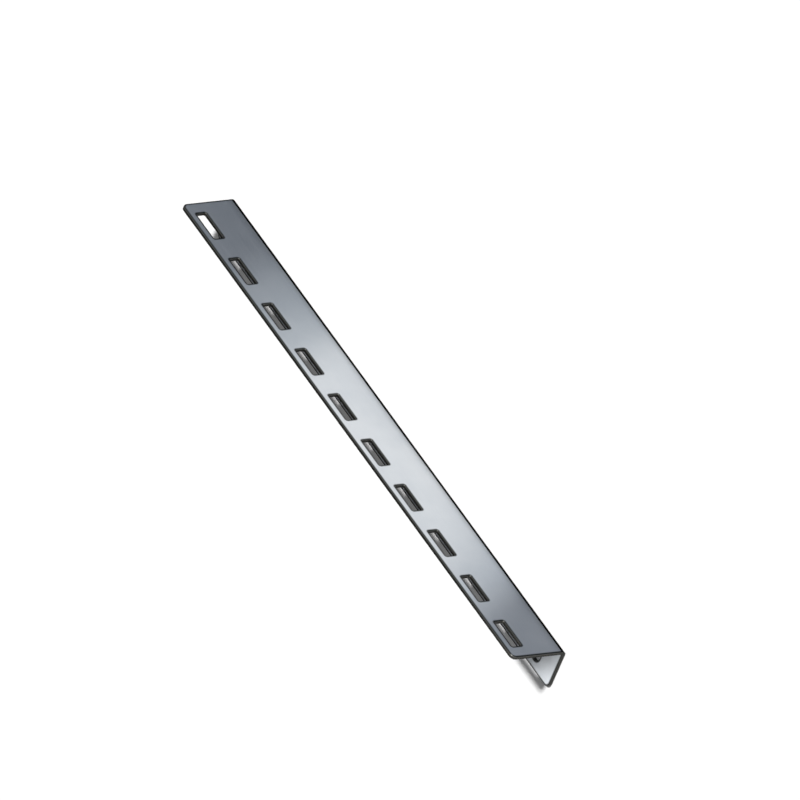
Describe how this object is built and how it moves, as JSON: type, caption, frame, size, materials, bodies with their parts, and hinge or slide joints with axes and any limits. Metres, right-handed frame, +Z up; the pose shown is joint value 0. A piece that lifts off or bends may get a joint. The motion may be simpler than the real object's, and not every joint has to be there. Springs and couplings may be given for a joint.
{
  "type": "rack lever lock adapter",
  "caption": "Folded sheet-steel angle rail with a row of rectangular slots along its taller flange for lever locks, and bolt holes in the other flange.",
  "frame": {"origin": "centre of the bounding box at the mounting flange's underside, on which the rail rests", "axes": "+X along the rail, +Y from the lock flange's outer face to the mounting flange's free edge, +Z up the lock flange to its free edge"},
  "size_m": [0.4444, 0.0318, 0.043],
  "materials": {
    "zinc_plated_steel": "satin blue-clear zinc plating on cold-rolled steel sheet, cut edges tumbled"
  },
  "bodies": {
    "root": {"slotted_angle": "zinc_plated_steel"}
  },
  "joints": []
}
